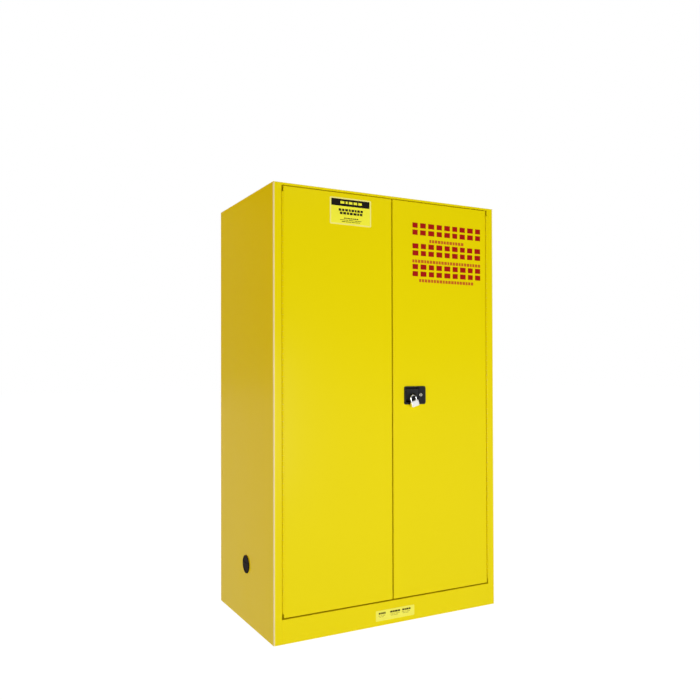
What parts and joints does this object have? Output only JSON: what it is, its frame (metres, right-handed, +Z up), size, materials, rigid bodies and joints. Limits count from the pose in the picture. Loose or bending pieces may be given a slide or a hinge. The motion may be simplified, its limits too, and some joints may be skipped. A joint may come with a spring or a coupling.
{
  "type": "flammable storage cabinet",
  "caption": "Tall double-wall steel safety cabinet with hinged doors, paddle handle and multi-point lock, adjustable spill shelves, leakproof sump and side vents.",
  "frame": {"origin": "bottom centre of the bounding box, on the floor", "axes": "+X to the right seen from the front, +Y to the back, +Z up; the doors face -Y"},
  "size_m": [0.998, 0.638, 1.65],
  "materials": {
    "powder_coated_steel": "satin powder coat",
    "galvanised_steel": "galvanised, spangled",
    "zinc_plated_steel": "bright zinc plate",
    "black_die_cast_zinc": "black, fine texture",
    "black_coated_steel": "black, satin",
    "brass": "turned",
    "nickel_plated_brass": "nickel plated",
    "satin_chrome": "satin",
    "polished_chrome": "polished",
    "printed_vinyl_yellow": "printed film",
    "printed_vinyl_pale": "printed film",
    "printed_vinyl_red": "printed film"
  },
  "bodies": {
    "carcass": {"outer_side_left": "powder_coated_steel", "outer_side_right": "powder_coated_steel", "outer_back": "powder_coated_steel", "outer_top": "powder_coated_steel", "outer_bottom": "powder_coated_steel", "base_sill": "powder_coated_steel", "inner_side_left": "powder_coated_steel", "inner_side_right": "powder_coated_steel", "inner_back": "powder_coated_steel", "inner_top": "powder_coated_steel", "sump_pan": "powder_coated_steel", "door_stop_frame": "powder_coated_steel", "wall_spacers": "galvanised_steel", "shelf_standards": "galvanised_steel", "shelf_clips": "galvanised_steel", "bolt_keepers": "zinc_plated_steel", "foot_brackets": "galvanised_steel", "ground_stud": "brass", "ground_nuts": "brass", "base_label": "printed_vinyl_pale", "hinge_frame_leaf_left": "powder_coated_steel", "hinge_frame_leaf_right": "powder_coated_steel", "hinge_pin_left": "zinc_plated_steel", "hinge_pin_right": "zinc_plated_steel", "vent_throat_left": "powder_coated_steel", "vent_screen_left": "galvanised_steel", "vent_throat_right": "powder_coated_steel", "vent_screen_right": "galvanised_steel"},
    "door_left": {"door_outer_left": "powder_coated_steel", "door_inner_left": "powder_coated_steel", "hinge_door_leaf_left": "powder_coated_steel", "centre_keeper": "zinc_plated_steel", "door_label": "printed_vinyl_yellow"},
    "door_right": {"door_outer_right": "powder_coated_steel", "door_inner_right": "powder_coated_steel", "hinge_door_leaf_right": "powder_coated_steel", "door_marking": "printed_vinyl_red", "handle_housing": "black_die_cast_zinc", "paddle_pin": "zinc_plated_steel", "paddle_spring": "zinc_plated_steel", "rod_guides": "galvanised_steel"},
    "paddle": {"paddle": "black_die_cast_zinc"},
    "lock_core": {"lock_cam": "zinc_plated_steel", "key_cylinder": "nickel_plated_brass"},
    "rod_top": {"rod_top": "zinc_plated_steel"},
    "rod_bottom": {"rod_bottom": "zinc_plated_steel"},
    "centre_bolt": {"centre_bolt": "zinc_plated_steel"},
    "padlock_shackle": {"padlock_shackle": "polished_chrome"},
    "padlock_body": {"padlock_body": "satin_chrome"},
    "shelf_lower": {"shelf_lower": "galvanised_steel"},
    "shelf_upper": {"shelf_upper": "galvanised_steel"},
    "vent_cap_left": {"vent_cap_left": "black_coated_steel"},
    "vent_cap_right": {"vent_cap_right": "black_coated_steel"},
    "foot_front_left": {"foot_front_left": "zinc_plated_steel"},
    "foot_front_right": {"foot_front_right": "zinc_plated_steel"},
    "foot_back_left": {"foot_back_left": "zinc_plated_steel"},
    "foot_back_right": {"foot_back_right": "zinc_plated_steel"}
  },
  "joints": [
    {"name": "door_left_hinge", "type": "hinge", "parent": "carcass", "child": "door_left", "pos_m": [-0.4595, -0.2965, 0.86], "axis": [0, 0, -1], "range_deg": [0, 180]},
    {"name": "door_right_hinge", "type": "hinge", "parent": "carcass", "child": "door_right", "pos_m": [0.4595, -0.2965, 0.86], "axis": [0, 0, 1], "range_deg": [0, 180]},
    {"name": "paddle_pull", "type": "hinge", "parent": "door_right", "child": "paddle", "pos_m": [0.088, -0.293, 0.897], "axis": [-1, 0, 0], "range_deg": [0, 30], "stiffness_Nm_per_rad": 0.5, "springref_deg": -17.19},
    {"name": "key_turn", "type": "hinge", "parent": "door_right", "child": "lock_core", "pos_m": [0.127, -0.2715, 0.879], "axis": [0, 1, 0], "range_deg": [0, 90]},
    {"name": "rod_top_throw", "type": "slide", "parent": "door_right", "child": "rod_top", "axis": [0, 0, 1], "range_m": [0, 0.017]},
    {"name": "rod_bottom_throw", "type": "slide", "parent": "door_right", "child": "rod_bottom", "axis": [0, 0, -1], "range_m": [0, 0.01697]},
    {"name": "centre_bolt_throw", "type": "slide", "parent": "door_right", "child": "centre_bolt", "axis": [-1, 0, 0], "range_m": [0, 0.017]},
    {"name": "padlock_swing", "type": "hinge", "parent": "paddle", "child": "padlock_shackle", "pos_m": [0.091, -0.311, 0.8764], "axis": [-1, 0, 0], "range_deg": [0, 100]},
    {"name": "padlock_release", "type": "slide", "parent": "padlock_shackle", "child": "padlock_body", "axis": [0.2924, 0, -0.9563], "range_m": [0, 0.008]},
    {"name": "shelf_lower_lift", "type": "slide", "parent": "carcass", "child": "shelf_lower", "axis": [0, 0, 1], "range_m": [0, 0.06]},
    {"name": "shelf_upper_lift", "type": "slide", "parent": "carcass", "child": "shelf_upper", "axis": [0, 0, 1], "range_m": [0, 0.06]},
    {"name": "vent_cap_left_pull", "type": "slide", "parent": "carcass", "child": "vent_cap_left", "axis": [-1, 0, 0], "range_m": [0, 0.03]},
    {"name": "vent_cap_right_pull", "type": "slide", "parent": "carcass", "child": "vent_cap_right", "axis": [1, 0, 0], "range_m": [0, 0.03]},
    {"name": "foot_front_left_screw", "type": "slide", "parent": "carcass", "child": "foot_front_left", "axis": [0, 0, -1], "range_m": [0, 0.02]},
    {"name": "foot_front_right_screw", "type": "slide", "parent": "carcass", "child": "foot_front_right", "axis": [0, 0, -1], "range_m": [0, 0.02]},
    {"name": "foot_back_left_screw", "type": "slide", "parent": "carcass", "child": "foot_back_left", "axis": [0, 0, -1], "range_m": [0, 0.02]},
    {"name": "foot_back_right_screw", "type": "slide", "parent": "carcass", "child": "foot_back_right", "axis": [0, 0, -1], "range_m": [0, 0.02]}
  ],
  "couplings": [
    {"joint": "key_turn", "follows": "rod_bottom_throw", "rad_per_m": 92.56},
    {"joint": "rod_top_throw", "follows": "rod_bottom_throw", "ratio": 1},
    {"joint": "centre_bolt_throw", "follows": "rod_bottom_throw", "ratio": 1}
  ]
}
